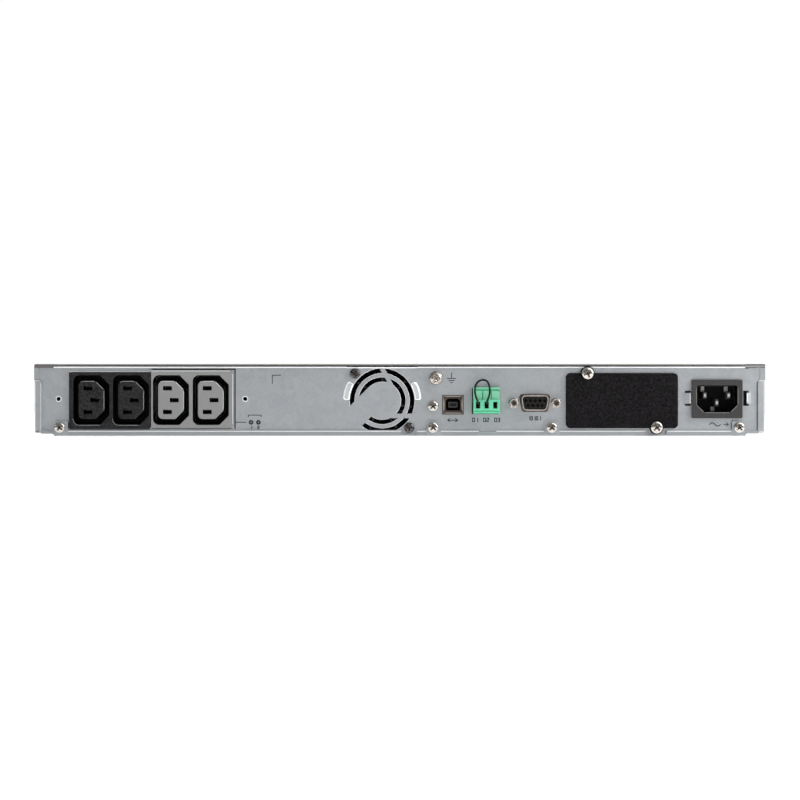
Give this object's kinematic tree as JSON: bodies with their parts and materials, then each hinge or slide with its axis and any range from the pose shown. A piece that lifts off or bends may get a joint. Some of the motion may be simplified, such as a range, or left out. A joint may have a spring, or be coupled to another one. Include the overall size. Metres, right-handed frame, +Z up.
{
  "type": "rackmount backup power supply",
  "caption": "Low, flat rackmount backup power supply with mains outlets, mains inlet, fan, data sockets, covered card slot and a sliding battery drawer.",
  "frame": {"origin": "middle of the underside of the body", "axes": "+Z up, the connector panel faces -Y, the controls face +Y, +X to the right of somebody looking at the connector panel"},
  "size_m": [0.4826, 0.3779, 0.0431],
  "materials": {
    "galvanised_steel": "satin zinc",
    "cover_steel": "matt dark paint",
    "black_powder_coat": "fine textured powder coat",
    "black_screw": "black oxide",
    "nickel_screw": "bright nickel plate",
    "nickel_pin": "bright nickel plate",
    "tin_plated": "bright tin plate",
    "outlet_black": "fine moulded",
    "outlet_grey": "fine moulded",
    "connector_black": "satin moulded",
    "fan_plastic": "satin moulded",
    "signal_green": "satin moulded",
    "wire_sleeve": "satin",
    "front_plastic": "fine textured",
    "button_plastic": "satin",
    "display_glass": "gloss",
    "clear_window": "clear gloss",
    "circuit_board": "solder mask",
    "heatsink_aluminium": "extruded",
    "lamination_steel": "varnished laminations",
    "winding": "varnished copper and tape",
    "battery_case": "moulded",
    "socket_grey": "moulded"
  },
  "bodies": {
    "chassis": {"base_pan": "galvanised_steel", "battery_socket": "socket_grey", "board_screw": "nickel_screw", "capacitor": "battery_case", "choke": "winding", "comm_board": "circuit_board", "control_bezel": "front_plastic", "control_board": "circuit_board", "data_socket_insert": "connector_black", "data_socket_shell": "tin_plated", "display_module": "display_glass", "display_window": "clear_window", "ear_screw_left_1": "nickel_screw", "ear_screw_left_2": "nickel_screw", "ear_screw_right_1": "nickel_screw", "ear_screw_right_2": "nickel_screw", "earth_screw": "nickel_screw", "fan_frame": "fan_plastic", "fan_screw_1": "black_screw", "fan_screw_2": "black_screw", "front_plate": "galvanised_steel", "heatsink": "heatsink_aluminium", "inlet_pin_earth": "nickel_pin", "inlet_pin_line": "nickel_pin", "inlet_pin_neutral": "nickel_pin", "jack_screw_left": "nickel_screw", "jack_screw_right": "nickel_screw", "main_board": "circuit_board", "mains_inlet": "connector_black", "outlet_block_black": "outlet_black", "outlet_block_grey": "outlet_grey", "panel_screw_1": "nickel_screw", "panel_screw_2": "nickel_screw", "panel_screw_3": "nickel_screw", "panel_screw_4": "nickel_screw", "rack_ear_left": "black_powder_coat", "rack_ear_right": "black_powder_coat", "rear_panel": "galvanised_steel", "serial_insert": "connector_black", "serial_shell": "tin_plated", "signal_header": "signal_green", "slot_cover": "black_powder_coat", "slot_screw_1": "nickel_screw", "slot_screw_2": "nickel_screw", "top_cover": "cover_steel", "transformer_core": "lamination_steel", "transformer_winding": "winding"},
    "fan_rotor": {"fan_rotor": "fan_plastic"},
    "battery_drawer": {"battery_tray": "galvanised_steel", "battery_left": "battery_case", "battery_right": "battery_case", "battery_plug": "connector_black", "drawer_fascia": "front_plastic"},
    "signal_plug": {"signal_plug": "signal_green", "jumper_wire": "wire_sleeve"},
    "power_button": {"power_button": "button_plastic"},
    "key_escape": {"key_escape": "button_plastic"},
    "key_down": {"key_down": "button_plastic"},
    "key_up": {"key_up": "button_plastic"},
    "key_enter": {"key_enter": "button_plastic"}
  },
  "joints": [
    {"name": "fan_spin", "type": "hinge", "parent": "chassis", "child": "fan_rotor", "pos_m": [-0.0104, -0.1714, 0.0211], "axis": [0, 1, 0], "continuous": true},
    {"name": "drawer_slide", "type": "slide", "parent": "chassis", "child": "battery_drawer", "axis": [0, 1, 0], "range_m": [0, 0.15]},
    {"name": "plug_pull", "type": "slide", "parent": "chassis", "child": "signal_plug", "axis": [0, -1, 0], "range_m": [0, 0.01]},
    {"name": "power_press", "type": "slide", "parent": "chassis", "child": "power_button", "axis": [0, -1, 0], "range_m": [0, 0.0012], "stiffness_N_per_m": 500},
    {"name": "key_escape_press", "type": "slide", "parent": "chassis", "child": "key_escape", "axis": [0, -1, 0], "range_m": [0, 0.0008], "stiffness_N_per_m": 400},
    {"name": "key_down_press", "type": "slide", "parent": "chassis", "child": "key_down", "axis": [0, -1, 0], "range_m": [0, 0.0008], "stiffness_N_per_m": 400},
    {"name": "key_up_press", "type": "slide", "parent": "chassis", "child": "key_up", "axis": [0, -1, 0], "range_m": [0, 0.0008], "stiffness_N_per_m": 400},
    {"name": "key_enter_press", "type": "slide", "parent": "chassis", "child": "key_enter", "axis": [0, -1, 0], "range_m": [0, 0.0008], "stiffness_N_per_m": 400}
  ]
}
